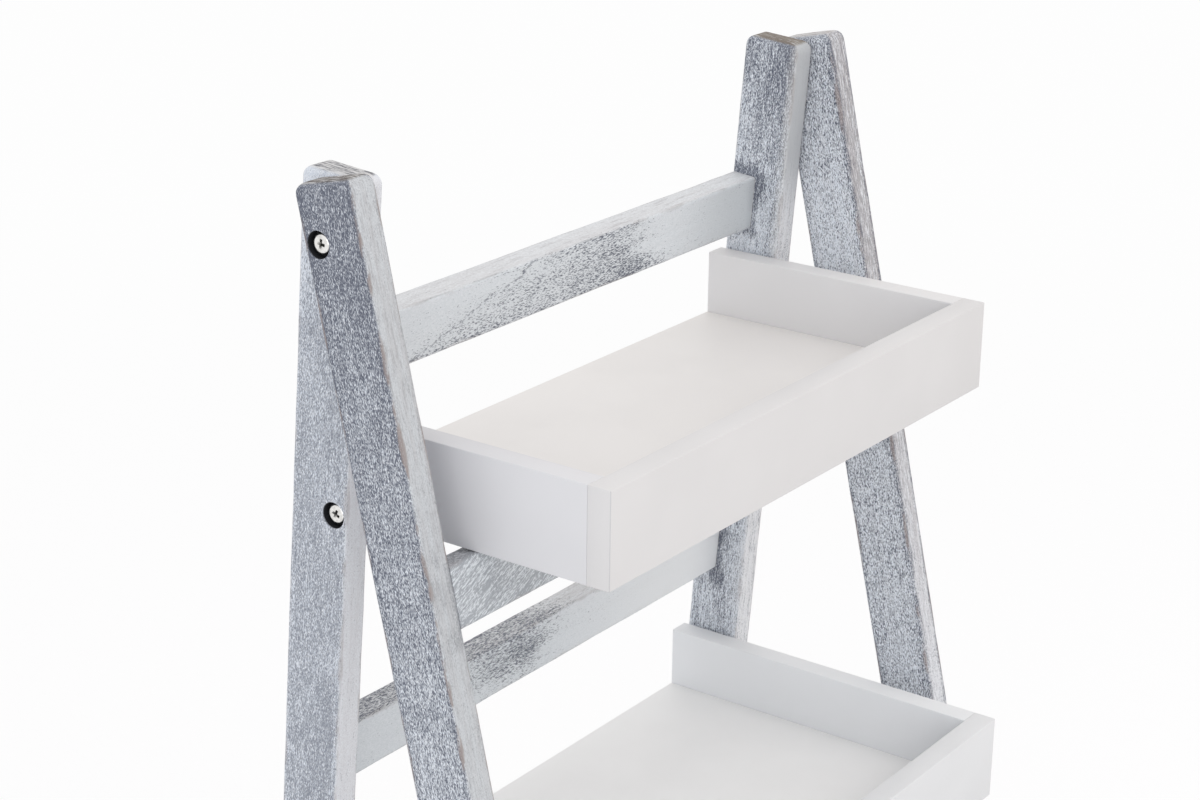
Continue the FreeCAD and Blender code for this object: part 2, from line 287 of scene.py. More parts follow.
# white studio: an even white world, two large soft lamps, and a pale floor that keeps the shadow and fades out
studio = {
    "coolSide": (0.955, 0.98, 1.02),
    "warmSide": (1.015, 0.995, 0.985),
    "tintTurn": (-0.8, 0.3),
    "worldLevel": 0.93,
    "lampAim": (0.0, 0.0, 0.55),
    "floorReach": 30.0,
    "floorDrop": 0.0002,
    "floorPale": 0.85,
    "floorShade": 0.5,
    "floorGlow": 0.495,
    "floorFade": (1.0, 3.2),
    "backdropLevel": 0.985,
}
studioLamps = {
    "topLamp": {"at": (0.2, -2.4, 3.2), "size": 2.4, "power": 16.0, "tint": (1.0, 0.965, 0.935)},
    "sideFill": {"at": (-3.0, -1.2, 1.4), "size": 1.8, "power": 11.0, "tint": (0.98, 0.99, 1.0)},
}


# 1 where the camera, a mirror or glass looks at the backdrop, 0 where it only gives light
def seenDirectly(tree):
    rays = addNode(tree, "ShaderNodeLightPath").outputs
    mirrorRays = calc(tree, "MAXIMUM", rays["Is Glossy Ray"], rays["Is Transmission Ray"])
    return calc(tree, "MAXIMUM", rays["Is Camera Ray"], mirrorRays)


def lightStudio():
    world = bpy.data.worlds.new("whiteStudio")
    world.use_nodes = True
    tree = world.node_tree
    tree.nodes.clear()
    way = addNode(tree, "ShaderNodeTexCoord").outputs["Generated"]
    fromLeft = addNode(tree, "ShaderNodeSeparateXYZ", {0: way}).outputs[0]
    tint = blendColour(tree, ramp(tree, fromLeft, *studio["tintTurn"]), studio["coolSide"], studio["warmSide"])
    light = {"Color": tint, "Strength": studio["worldLevel"]}
    ambient = addNode(tree, "ShaderNodeBackground", light).outputs[0]
    white = {"Color": (1, 1, 1, 1), "Strength": studio["backdropLevel"]}
    backdrop = addNode(tree, "ShaderNodeBackground", white).outputs[0]
    mix = addNode(tree, "ShaderNodeMixShader", {0: seenDirectly(tree), 1: ambient, 2: backdrop})
    addNode(tree, "ShaderNodeOutputWorld", {"Surface": mix.outputs[0]})
    bpy.context.scene.world = world
    for name, values in studioLamps.items():
        lamp = bpy.data.lights.new(name, "AREA")
        lamp.size = values["size"]
        lamp.energy = values["power"]
        lamp.color = values["tint"]
        holder = bpy.data.objects.new(name, lamp)
        holder.location = values["at"]
        aim = Vector(studio["lampAim"]) - holder.location
        holder.rotation_euler = aim.to_track_quat("-Z", "Y").to_euler()
        bpy.context.scene.collection.objects.link(holder)


def layFloor():
    reach, drop = studio["floorReach"], studio["floorDrop"]
    mesh = bpy.data.meshes.new("floor")
    corners = [(x * reach, y * reach, -drop) for x, y in ((-1, -1), (1, -1), (1, 1), (-1, 1))]
    mesh.from_pydata(corners, [], [range(4)])
    floor = bpy.data.objects.new("floor", mesh)
    material = bpy.data.materials.new("paleFloor")
    material.use_nodes = True
    tree = material.node_tree
    tree.nodes.clear()
    pale, seen, level = studio["floorPale"], studio["floorShade"], studio["floorGlow"]
    bounce = addNode(tree, "ShaderNodeBsdfDiffuse", {"Color": (pale, pale, pale, 1)}).outputs[0]
    shade = addNode(tree, "ShaderNodeBsdfDiffuse", {"Color": (seen, seen, seen, 1)}).outputs[0]
    glow = addNode(tree, "ShaderNodeEmission", {"Color": (1, 1, 1, 1), "Strength": level}).outputs[0]
    nearby = addNode(tree, "ShaderNodeAddShader", {0: shade, 1: glow}).outputs[0]
    white = {"Color": (1, 1, 1, 1), "Strength": studio["backdropLevel"]}
    backdrop = addNode(tree, "ShaderNodeEmission", white).outputs[0]
    away = vectorCalc(tree, "LENGTH", addNode(tree, "ShaderNodeTexCoord").outputs["Object"])
    fade = ramp(tree, away, *studio["floorFade"])
    shown = addNode(tree, "ShaderNodeMixShader", {0: fade, 1: nearby, 2: backdrop}).outputs[0]
    mix = addNode(tree, "ShaderNodeMixShader", {0: seenDirectly(tree), 1: bounce, 2: shown})
    addNode(tree, "ShaderNodeOutputMaterial", {"Surface": mix.outputs[0]})
    mesh.materials.append(material)
    bpy.context.scene.collection.objects.link(floor)


bpy.context.scene.view_settings.view_transform = "Standard"
lightStudio()
layFloor()
print("studio lit")


# plain values are the same all over and stay on the shader's own sockets
def newMaterial(name, plain):
    material = bpy.data.materials.new(name)
    material.use_nodes = True
    tree = material.node_tree
    shader = tree.nodes["Principled BSDF"]
    for socket, value in plain.items():
        shader.inputs[socket].default_value = value
    return material, tree, shader


def readAttribute(tree, name):
    return addNode(tree, "ShaderNodeAttribute", attribute_name=name).outputs


def objectCoord(tree):
    return addNode(tree, "ShaderNodeTexCoord").outputs["Object"]


# bump is its strength and its depth
def dressShader(tree, shader, colour, roughness, height, bump):
    relief = addNode(tree, "ShaderNodeBump", {"Height": height, "Strength": bump[0], "Distance": bump[1]})
    linkOut(tree, shader.inputs, {"Base Color": colour, "Roughness": roughness, "Normal": relief.outputs[0]})


# brushed whitewash over a slate stain, on the board's own coordinates, grain along z
washColours = {
    "paleFleck": (0.855, 0.875, 0.905),
    "stain": (0.086, 0.096, 0.134),
    "streak": (0.290, 0.265, 0.275),
    "warm": (0.500, 0.450, 0.445),
}
washNoise = {
    "specks": {"waves": (1.982, 1.982, 0.42), "detail": 1.0, "roughness": 0.5},
    "clumps": {"waves": (0.42, 0.42, 0.18), "detail": 2.0, "roughness": 0.5, "shift": 19.0},
    "flecks": {"waves": (1.25, 1.25, 0.55), "detail": 1.0, "roughness": 0.5, "shift": 7.0},
    "fibres": {"waves": (0.85, 0.85, 0.040), "detail": 3.0, "roughness": 0.6, "shift": 3.0},
    "dashes": {"waves": (0.50, 0.50, 0.060), "detail": 4.0, "roughness": 0.6, "shift": 31.0},
    "tints": {"waves": (0.12, 0.12, 0.006), "detail": 2.0, "roughness": 0.5, "shift": 17.0},
}
washShape = {
    "closedLevel": 0.74,
    "bareGain": -0.42,
    "clumpShare": 0.14,
    "streakLevel": 0.66,
    "streakGain": -0.26,
    "streakSoft": 0.16,
    "fleckRange": (0.42, 0.68),
    "warmRange": (0.40, 0.62),
    "fibreRelief": 0.7,
    "stainRelief": -0.6,
    "washRough": 0.58,
    "stainRough": 0.15,
}


def makeWhitewash():
    tree, given, out = newGroup("brushedWhitewash", "ShaderNodeTree", {
        "Coord": "Vector",
        "Wash": "Color",
        "Bare": 0.4,
        "Softness": 0.2,
        "Fibre": 0.3,
        "Depth": 0.9,
        "Fleck": 1.0,
        "Streak": 0.3,
        "Streak Depth": 0.5,
        "Warmth": 0.0,
    }, {"Color": "Color", "Height": "Float", "Roughness": "Float"})
    noise = {name: stretchedNoise(tree, given["Coord"], **layer) for name, layer in washNoise.items()}

    # the barer the wood, the more of the grainy field lies open
    level = plusShare(tree, washShape["closedLevel"], given["Bare"], washShape["bareGain"])
    grainy = plusShare(tree, noise["specks"], minus(tree, noise["fibres"], 0.5), given["Fibre"])
    grainy = plusShare(tree, grainy, minus(tree, noise["clumps"], 0.5), washShape["clumpShare"])
    low, high = minus(tree, level, given["Softness"]), plus(tree, level, given["Softness"])
    stained = ramp(tree, grainy, low, high)
    streakFrom = plusShare(tree, washShape["streakLevel"], given["Streak"], washShape["streakGain"])
    streaks = ramp(tree, noise["dashes"], streakFrom, plus(tree, streakFrom, washShape["streakSoft"]))

    layers = [
        (ramp(tree, noise["flecks"], *washShape["fleckRange"]), "Fleck", "paleFleck"),
        (ramp(tree, noise["tints"], *washShape["warmRange"]), "Warmth", "warm"),
        (streaks, "Streak Depth", "streak"),
        (stained, "Depth", "stain"),
    ]
    colour = given["Wash"]
    for mask, amount, tone in layers:
        colour = blendColour(tree, times(tree, mask, given[amount]), colour, washColours[tone])
    relief = times(tree, noise["fibres"], washShape["fibreRelief"])
    linkOut(tree, out, {
        "Color": colour,
        "Height": plusShare(tree, relief, stained, washShape["stainRelief"]),
        "Roughness": plusShare(tree, washShape["washRough"], stained, washShape["stainRough"]),
    })
    return tree


# brush marks along a board: slow clouds, its head, its foot, and a fade from head to foot
brushShape = {
    "clouds": {
        "waves": (0.045, 0.045, 0.011), "detail": 2.0, "roughness": 0.55, "distortion": 0.6, "shift": 11.0,
    },
    "footBlend": 0.2,
    "fadeRange": (0.1, 0.5),
    "fadeEnds": (1.0, 0.22),
}


def makeBrushGroup():
    inputs = {"Coord": "Vector", "Head Gap": 0.0, "Head Reach": 0.15, "Foot From": 0.2}
    outputs = {"Sway": "Float", "Head": "Float", "Foot": "Float", "Fade": "Float"}
    tree, given, out = newGroup("brushMarks", "ShaderNodeTree", inputs, outputs)
    gap, footFrom = given["Head Gap"], given["Foot From"]
    linkOut(tree, out, {
        "Sway": minus(tree, stretchedNoise(tree, given["Coord"], **brushShape["clouds"]), 0.5),
        "Head": ramp(tree, gap, 0.0, given["Head Reach"], 1.0, 0.0),
        "Foot": ramp(tree, gap, footFrom, plus(tree, footFrom, brushShape["footBlend"])),
        "Fade": ramp(tree, gap, *brushShape["fadeRange"], *brushShape["fadeEnds"]),
    })
    return tree


# worn edges: a ragged rim that shows more stain, and within it warm wood rubbed free here and there
edgeShape = {
    "noise": {"waves": (0.10, 0.10, 0.03), "detail": 4.0, "roughness": 0.6, "shift": 23.0},
    "ragged": 8 * mm,
    "rimRange": (1 * mm, 5 * mm),
    "rubRange": (0.2 * mm, 1.9 * mm),
    "rubOpen": (0.46, 0.56),
}


def makeEdgeGroup():
    inputs = {"Coord": "Vector", "Edge Gap": 0.0}
    outputs = {"Rim": "Float", "Rub": "Float", "Ragged": "Float"}
    tree, given, out = newGroup("wornEdges", "ShaderNodeTree", inputs, outputs)
    noise = stretchedNoise(tree, given["Coord"], **edgeShape["noise"])
    ragged = minus(tree, 0.5, noise)
    gap = plusShare(tree, given["Edge Gap"], ragged, edgeShape["ragged"])
    atEdge = ramp(tree, gap, *edgeShape["rubRange"], 1.0, 0.0)
    linkOut(tree, out, {
        "Rim": ramp(tree, gap, *edgeShape["rimRange"], 1.0, 0.0),
        "Rub": times(tree, atEdge, ramp(tree, noise, *edgeShape["rubOpen"])),
        "Ragged": ragged,
    })
    return tree


# end grain: pale wood with open dark pores, as deep as the cut shows
endShape = {
    "noise": {"waves": (0.10, 0.75, 0.2), "detail": 4.0, "roughness": 0.62, "shift": 29.0},
    "pale": (0.640, 0.630, 0.620),
    "closedLevel": 0.95,
    "poreSoft": 0.12,
    "deepRange": (0.2 * mm, 1.6 * mm),
    "cover": 0.85,
}


def makeEndGroup():
    inputs = {"Coord": "Vector", "Head Gap": 0.0, "Share": 0.5, "Tint": "Color"}
    tree, given, out = newGroup("openEndGrain", "ShaderNodeTree", inputs, {"Color": "Color", "Mask": "Float"})
    pores = stretchedNoise(tree, given["Coord"], **endShape["noise"])
    opened = minus(tree, endShape["closedLevel"], given["Share"])
    shown = ramp(tree, pores, opened, plus(tree, opened, endShape["poreSoft"]))
    atEnd = ramp(tree, given["Head Gap"], *endShape["deepRange"], 1.0, 0.0)
    linkOut(tree, out, {
        "Color": blendColour(tree, shown, endShape["pale"], given["Tint"]),
        "Mask": times(tree, atEnd, endShape["cover"]),
    })
    return tree


# corner left unbrushed: 1 close to a rail's end on the face of a leg, fading out around it
cornerShape = {
    "noise": {"waves": (0.07, 0.07, 0.05), "detail": 3.0, "roughness": 0.6, "shift": 37.0},
    "noiseRange": (0.35, 0.7),
    "reach": (5 * mm, 28 * mm),
}


def makeCornerGroup():
    inputs = {"Coord": "Vector", "Centre": "Vector", "Half": "Vector"}
    tree, given, out = newGroup("unbrushedCorner", "ShaderNodeTree", inputs, {"Mask": "Float"})
    away = vectorCalc(tree, "ABSOLUTE", vectorCalc(tree, "SUBTRACT", given["Coord"], given["Centre"]))
    gaps = vectorCalc(tree, "MAXIMUM", vectorCalc(tree, "SUBTRACT", away, given["Half"]), (0, 0, 0))
    ragged = stretchedNoise(tree, given["Coord"], **cornerShape["noise"])
    reach = ramp(tree, ragged, *cornerShape["noiseRange"], *cornerShape["reach"])
    linkOut(tree, out, {"Mask": ramp(tree, vectorCalc(tree, "LENGTH", gaps), 0.0, reach, 1.0, 0.0)})
    return tree


# bare stretch of a rail: its face, the part on top, and a broken dark line along its slanted left border
patchShape = {
    "lineNoise": {"waves": (0.6, 0.6, 0.25), "detail": 2.0, "roughness": 0.6, "shift": 41.0},
    "lineOpen": (0.44, 0.58),
    "lineRange": (0.001, 0.005),
    "leftSway": 0.05,
    "leftRange": (-0.09, 0.06),
    "rightSway": 0.09,
    "rightRange": (-0.03, 0.03),
    "deepRange": (0.01, 0.09),
    "deepEnds": (1.0, 0.75),
    "lowEdge": -16 * mm,
    "topSway": 0.1,
    "topRange": (-0.02, 0.04),
}


def makePatchGroup():
    inputs = {"Coord": "Vector", "Head Gap": 0.0, "Across": 0.0, "Sway": 0.0}
    places = {"Left": 0.3, "Right": 0.15, "Slant": 0.0, "Lift": 0.0, "Top From": 0.3}
    outputs = {"Face": "Float", "Top": "Float", "Line": "Float"}
    tree, given, out = newGroup("barePatch", "ShaderNodeTree", {**inputs, **places}, outputs)
    gap, across, sway = given["Head Gap"], given["Across"], given["Sway"]
    slanted = plusShare(tree, gap, across, given["Slant"])
    leftGap = plusShare(tree, minus(tree, given["Left"], slanted), sway, patchShape["leftSway"])
    rightGap = plusShare(tree, minus(tree, gap, given["Right"]), sway, patchShape["rightSway"])
    topGap = plusShare(tree, minus(tree, gap, given["Top From"]), sway, patchShape["topSway"])
    inside = [
        ramp(tree, leftGap, *patchShape["leftRange"]),
        ramp(tree, rightGap, *patchShape["rightRange"]),
        ramp(tree, rightGap, *patchShape["deepRange"], *patchShape["deepEnds"]),
        ramp(tree, across, patchShape["lowEdge"], 0.0, minus(tree, 1.0, given["Lift"]), 1.0),
    ]
    onLine = ramp(tree, calc(tree, "ABSOLUTE", leftGap), *patchShape["lineRange"], 1.0, 0.0)
    broken = stretchedNoise(tree, given["Coord"], **patchShape["lineNoise"])
    linkOut(tree, out, {
        "Face": times(tree, *inside),
        "Top": ramp(tree, topGap, *patchShape["topRange"]),
        "Line": times(tree, onLine, ramp(tree, broken, *patchShape["lineOpen"])),
    })
    return tree


whitewash = makeWhitewash()
brushGroup = makeBrushGroup()
edgeGroup = makeEdgeGroup()
endGroup = makeEndGroup()
cornerGroup = makeCornerGroup()
patchGroup = makePatchGroup()

# how bare each stick is: on its wide and narrow faces, near its head and foot, in clouds and along its edges
woodFinish = {
    "leftFrontLeg": {
        "wide": 0.645, "narrow": 0.17, "head": 0.17, "headReach": 0.16, "foot": -0.11, "footFrom": 0.20,
        "cloud": 0.10, "rim": 0.10, "slimRim": 0.12, "wash": (0.680, 0.722, 0.782),
        "slimWash": (0.660, 0.692, 0.722), "fleck": 1.0, "fineness": 1.832, "softness": 0.105,
        "fibre": 0.24, "footFibre": 0.42, "depth": 0.94, "streak": 0.70, "streakDepth": 0.58, "warmth": 0.30,
        "grey": 0.55, "greyReach": 2.0, "rub": 0.80, "creamHighlight": 0.0,
        "endTint": (0.120, 0.098, 0.082), "endShare": 0.56,
    },
    "rightFrontLeg": {
        "wide": 0.290, "narrow": 0.23, "head": 0.28, "headReach": 0.20, "foot": 0.205, "footFrom": 0.10,
        "cloud": 0.08, "rim": 0.16, "slimRim": 0.40, "wash": (0.738, 0.778, 0.838),
        "slimWash": (0.780, 0.790, 0.822), "fleck": 1.0, "fineness": 1.832, "softness": 0.020,
        "fibre": 0.24, "footFibre": 0.28, "depth": 1.0, "streak": 1.0, "streakDepth": 0.82, "warmth": 0.50,
        "grey": 0.10, "greyReach": 0.4, "rub": 0.60, "creamHighlight": 0.0,
        "endTint": (0.370, 0.320, 0.310), "endShare": 0.46,
    },
    "leftRearLeg": {
        "wide": 0.66, "narrow": 0.00, "head": -0.50, "headReach": 0.09, "foot": 0.0, "footFrom": 0.20,
        "cloud": 0.22, "rim": -0.10, "slimRim": 0.05, "wash": (0.680, 0.722, 0.790),
        "slimWash": (0.755, 0.757, 0.785), "fleck": 1.0, "fineness": 1.832, "softness": 0.105,
        "fibre": 0.34, "footFibre": 0.42, "depth": 0.72, "streak": 0.25, "streakDepth": 0.25, "warmth": 0.15,
        "grey": 0.00, "greyReach": 1.0, "rub": 0.35, "creamHighlight": 0.0,
        "endTint": (0.110, 0.105, 0.115), "endShare": 0.50,
    },
    # right rear leg: its negative rim and its cream band paint a paler warm highlight along the front edge
    "rightRearLeg": {
        "wide": 0.35, "narrow": 0.12, "head": 0.42, "headReach": 0.15, "foot": 0.08, "footFrom": 0.20,
        "cloud": 0.28, "rim": -0.08, "slimRim": 0.05, "wash": (0.680, 0.722, 0.782),
        "slimWash": (0.840, 0.840, 0.850), "fleck": 1.0, "fineness": 1.832, "softness": 0.088,
        "fibre": 0.50, "footFibre": 0.72, "depth": 0.94, "streak": 0.20, "streakDepth": 0.25, "warmth": 0.20,
        "grey": 0.90, "greyReach": 0.10, "rub": 0.30, "creamHighlight": 0.30,
        "endTint": (0.190, 0.150, 0.110), "endShare": 0.62,
    },
    "rail": {
        "wide": -0.04, "narrow": -0.10, "head": 0.00, "headReach": 0.15, "foot": 0.0, "footFrom": 0.20,
        "cloud": 0.22, "rim": 0.08, "slimRim": 0.06, "wash": (0.722, 0.757, 0.783),
        "slimWash": (0.675, 0.686, 0.698), "fleck": 0.50, "fineness": 1.05, "softness": 0.105,
        "streak": 0.55, "streakDepth": 0.36, "warmth": 0.20,
        "grey": 0.00, "greyReach": 1.0, "rub": 0.22, "creamHighlight": 0.0,
        "endTint": (0.300, 0.260, 0.230), "endShare": 0.30,
    },
}
woodWear = {
    "wideCloud": 2.4,
    "slimCloud": 0.6,
    "slimHead": 0.1,
    "slimFibre": 2.0,
    "fibreRange": (0.08, 0.38),
    "wideStreak": 0.3,
    "wideWarmth": 0.2,
    "cornerBare": 0.42,
    "narrowGrey": (0.490, 0.503, 0.515),
    "greyBlend": (0.7, 1.3),
    # pale warm band along a leg's front edge: a painted highlight
    "creamHighlight": (0.640, 0.610, 0.570),
    "highlightRagged": 20 * mm,
    "highlightRange": (-19 * mm, -12 * mm),
    "edgeRub": (0.310, 0.255, 0.238),
    "rightEndFrom": 0.2,
    # near black inside the counterbores: dark stain and painted shade
    "boreStainAndShade": (0.018, 0.019, 0.023),
    "bump": (0.35, 0.3 * mm),
    "plain": {"Specular IOR Level": 0.35},
}


def whitewashedWood(name, finish, patch=None, corners=()):
    material, tree, shader = newMaterial(name, woodWear["plain"])
    coord = readAttribute(tree, "boardCoord")["Vector"]
    notes = ("narrowFace", "headGap", "edgeGap", "across", "boreDepth")
    narrow, headGap, edgeGap, across, bore = (readAttribute(tree, note)["Fac"] for note in notes)

    # one value on wide faces and another on narrow ones
    def faces(wide, slim):
        return plusShare(tree, wide, narrow, slim - wide)

    brush = useGroup(tree, brushGroup, {
        "Coord": coord, "Head Gap": headGap, "Head Reach": finish["headReach"], "Foot From": finish["footFrom"],
    })
    edge = useGroup(tree, edgeGroup, {"Coord": coord, "Edge Gap": edgeGap})
    endCut = useGroup(tree, endGroup, {
        "Coord": coord, "Head Gap": headGap, "Share": finish["endShare"], "Tint": (*finish["endTint"], 1),
    })
    cloud, head = finish["cloud"], finish["head"]
    opened = [
        (brush["Sway"], faces(woodWear["wideCloud"] * cloud, woodWear["slimCloud"] * cloud)),
        (brush["Head"], faces(head, woodWear["slimHead"] * head)),
        (brush["Foot"], faces(finish["foot"], 0.0)),
        (edge["Rim"], faces(finish["rim"], finish["slimRim"])),
    ]
    grainWay = coord
    if patch:
        worn = useGroup(tree, patchGroup, {
            "Coord": coord, "Head Gap": headGap, "Across": across, "Sway": brush["Sway"],
            "Left": patch["left"], "Right": patch["right"], "Slant": patch["slant"], "Lift": patch["lift"],
            "Top From": patch["topFrom"],
        })
        opened.append((worn["Face"], faces(patch["bare"], 0.0)))
        opened.append((worn["Top"], faces(0.0, patch["topBare"])))
        turned = {"Vector": coord, "Angle": math.radians(patch["turn"])}
        grainWay = addNode(tree, "ShaderNodeVectorRotate", turned, rotation_type="Y_AXIS").outputs[0]
    for centre, half in corners:
        corner = useGroup(tree, cornerGroup, {"Coord": coord, "Centre": centre, "Half": half})
        opened.append((corner["Mask"], woodWear["cornerBare"]))
    bare = faces(finish["wide"], finish["narrow"])
    for mask, amount in opened:
        bare = plusShare(tree, bare, mask, amount)

    fade, streakDepth, warmth = brush["Fade"], finish["streakDepth"], finish["warmth"]
    fibre = ramp(tree, headGap, *woodWear["fibreRange"], finish["fibre"], finish["footFibre"])
    wash = useGroup(tree, whitewash, {
        "Coord": scaledVector(tree, grainWay, finish["fineness"]),
        "Wash": blendColour(tree, narrow, finish["wash"], finish["slimWash"]),
        "Bare": bare,
        "Softness": finish["softness"],
        "Fibre": times(tree, fibre, faces(1.0, woodWear["slimFibre"])),
        "Depth": finish["depth"],
        "Fleck": finish["fleck"],
        "Streak": faces(0.0, finish["streak"]),
        "Streak Depth": times(tree, faces(woodWear["wideStreak"] * streakDepth, streakDepth), fade),
        "Warmth": times(tree, faces(woodWear["wideWarmth"] * warmth, warmth), fade),
    })

    # over the wash: greyed narrow faces, a cream band along the front edge that is a painted highlight, rubbed
    # edges, a rail's line and its right end with painted light and shade, end grain and bores darkened by stain
    # and painted shade
    greyFrom, greyTo = (share * finish["greyReach"] for share in woodWear["greyBlend"])
    greyed = ramp(tree, headGap, greyFrom, greyTo, 1.0, 0.0)
    frontGap = plusShare(tree, across, edge["Ragged"], woodWear["highlightRagged"])
    frontEdgeHighlight = ramp(tree, frontGap, *woodWear["highlightRange"], 1.0, 0.0)
    layers = [
        (times(tree, faces(0.0, finish["grey"]), greyed), woodWear["narrowGrey"]),
        (times(tree, frontEdgeHighlight, fade, faces(finish["creamHighlight"], 0.0)), woodWear["creamHighlight"]),
        (times(tree, edge["Rub"], finish["rub"]), woodWear["edgeRub"]),
    ]
    if patch:
        # right end lighter or darker than the rest: painted light and shade, lighter on the middle rear rail
        # under the tray's shade, darker on the top rear rail by the right rear leg
        endFrom = woodWear["rightEndFrom"] * patch["endReach"]
        rightEndLightShade = ramp(tree, headGap, endFrom, patch["endReach"], 1.0, 0.0)
        layers.append((times(tree, worn["Line"], faces(patch["line"], 0.0)), washColours["stain"]))
        layers.append((times(tree, rightEndLightShade, faces(patch["endLightBlend"], 0.0)), patch["endLightShade"]))
    layers += [(endCut["Mask"], endCut["Color"]), (bore, woodWear["boreStainAndShade"])]
    colour = wash["Color"]
    for mask, tone in layers:
        colour = blendColour(tree, mask, colour, tone)
    dressShader(tree, shader, colour, wash["Roughness"], wash["Height"], woodWear["bump"])
    return material


# sawn board: a rounded profile swept from foot to head, rounded over at the head, cut level at the foot,
# rubbed a little uneven by hand, and counterbored at the points that it is given
boardDetail = {
    "filletSteps": 6,
    "dentStretch": 0.45,
    "dentLevel": 0.55,
    "dentGain": 4.0,
    "calmEdge": 4 * mm,
    "calmShare": 0.35,
    "calmFoot": 6 * mm,
    "boreSides": 56,
    "boreSteps": 24,
    "boreMargin": 9 * mm,
    "boreRange": (0.3 * mm, 0.8 * mm),
    "faceBlend": 1.4 * mm,
}


def makeBoardTree():
    tree, given, out = newGroup("sawnBoard", "GeometryNodeTree", {
        "Bores": "Geometry",
        "Width": 0.04,
        "Thickness": 0.02,
        "Length": 0.9,
        "Edge Radius": 0.0015,
        "Around Step": 0.001,
        "Rings": 180,
        "Head Round": 0.0,
        "Head Ease": 0.0,
        "Foot Slope": 0.0,
        "Foot Fade": 0.08,
        "Unevenness": 0.0004,
        "Dent Size": 0.02,
        "Seed": 0.0,
        "Bore Diameter": 0.0145,
        "Bore Depth": 0.006,
        "Material": "Material",
    }, {"Board": "Geometry"})
    length, seed = given["Length"], given["Seed"]

    def drawnIn(value, inset, size):
        return times(tree, value, minus(tree, 1.0, over(tree, times(tree, inset, 2.0), size)))

    # gaps to the faces: on a wide face the second is zero, on a narrow one the first
    def faceGaps(x, y):
        pairs = ((x, given["Width"]), (y, given["Thickness"]))
        return [minus(tree, over(tree, size, 2.0), calc(tree, "ABSOLUTE", part)) for part, size in pairs]

    size = {"Width": given["Width"], "Height": given["Thickness"]}
    profile = addNode(tree, "GeometryNodeCurvePrimitiveQuadrilateral", size, mode="RECTANGLE").outputs[0]
    eased = {"Curve": profile, "Count": boardDetail["filletSteps"], "Limit Radius": True}
    eased["Radius"] = given["Edge Radius"]
    profile = addNode(tree, "GeometryNodeFilletCurve", eased, mode="POLY").outputs[0]
    steps = {"Curve": profile, "Length": given["Around Step"]}
    profile = addNode(tree, "GeometryNodeResampleCurve", steps, mode="LENGTH").outputs[0]
    line = addNode(tree, "GeometryNodeCurvePrimitiveLine", {"End": (0, 0, 1)}).outputs[0]
    rings = {"Curve": line, "Count": given["Rings"]}
    path = addNode(tree, "GeometryNodeResampleCurve", rings, mode="COUNT").outputs[0]

    # rings crowd towards both ends
    share = addNode(tree, "GeometryNodeSplineParameter").outputs["Factor"]
    swing = minus(tree, 0.5, over(tree, calc(tree, "COSINE", times(tree, share, math.pi)), 2.0))
    path = setPosition(tree, path, 0.0, 0.0, times(tree, swing, length))
    sweep = {"Curve": path, "Profile Curve": profile, "Fill Caps": True}
    board = addNode(tree, "GeometryNodeCurveToMesh", sweep).outputs[0]

    x, y, z = splitPosition(tree)
    headGap = minus(tree, length, z)
    footFade = calc(tree, "SUBTRACT", 1.0, over(tree, z, given["Foot Fade"]), clamp=True)
    newX = drawnIn(x, quarterRound(tree, headGap, given["Head Round"]), given["Width"])
    newY = drawnIn(y, quarterRound(tree, headGap, given["Head Ease"]), given["Thickness"])
    newZ = plusShare(tree, z, times(tree, footFade, given["Foot Slope"]), x)
    board = setPosition(tree, board, newX, newY, newZ)

    # shallow dents, calmer at the edges and gone at the foot
    x, y, z = splitPosition(tree)
    nearest = calc(tree, "MAXIMUM", *faceGaps(x, y))
    calm = times(
        tree,
        ramp(tree, nearest, 0.0, boardDetail["calmEdge"], 1.0, boardDetail["calmShare"]),
        ramp(tree, z, 0.0, boardDetail["calmFoot"]),
    )
    spot = vector(tree, x, y, plusShare(tree, seed, z, boardDetail["dentStretch"]))
    spot = scaledVector(tree, spot, over(tree, 1.0, given["Dent Size"]))
    dents = addNode(tree, "ShaderNodeTexNoise", {"Vector": spot, "Scale": 1.0, "Detail": 2.0}).outputs["Fac"]
    depth = minus(tree, dents, boardDetail["dentLevel"])
    depth = times(tree, depth, times(tree, given["Unevenness"], boardDetail["dentGain"]))
    normal = addNode(tree, "GeometryNodeInputNormal").outputs[0]
    dented = {"Geometry": board, "Offset": scaledVector(tree, normal, times(tree, depth, calm))}
    board = addNode(tree, "GeometryNodeSetPosition", dented).outputs[0]

    # counterbores, centred on the face that they are sunk in
    drill = {
        "Vertices": boardDetail["boreSides"],
        "Side Segments": boardDetail["boreSteps"],
        "Radius": over(tree, given["Bore Diameter"], 2.0),
        "Depth": times(tree, given["Bore Depth"], 2.0),
    }
    bit = addNode(tree, "GeometryNodeMeshCylinder", drill).outputs["Mesh"]
    turned = {"Points": given["Bores"], "Instance": bit, "Rotation": (math.pi / 2, 0, 0)}
    bits = addNode(tree, "GeometryNodeInstanceOnPoints", turned).outputs[0]
    bits = addNode(tree, "GeometryNodeRealizeInstances", {0: bits}).outputs[0]
    cut = addNode(tree, "GeometryNodeMeshBoolean", {"Mesh 1": board}, operation="DIFFERENCE", solver="MANIFOLD")
    tree.links.new(bits, cut.inputs["Mesh 2"])
    board = cut.outputs[0]

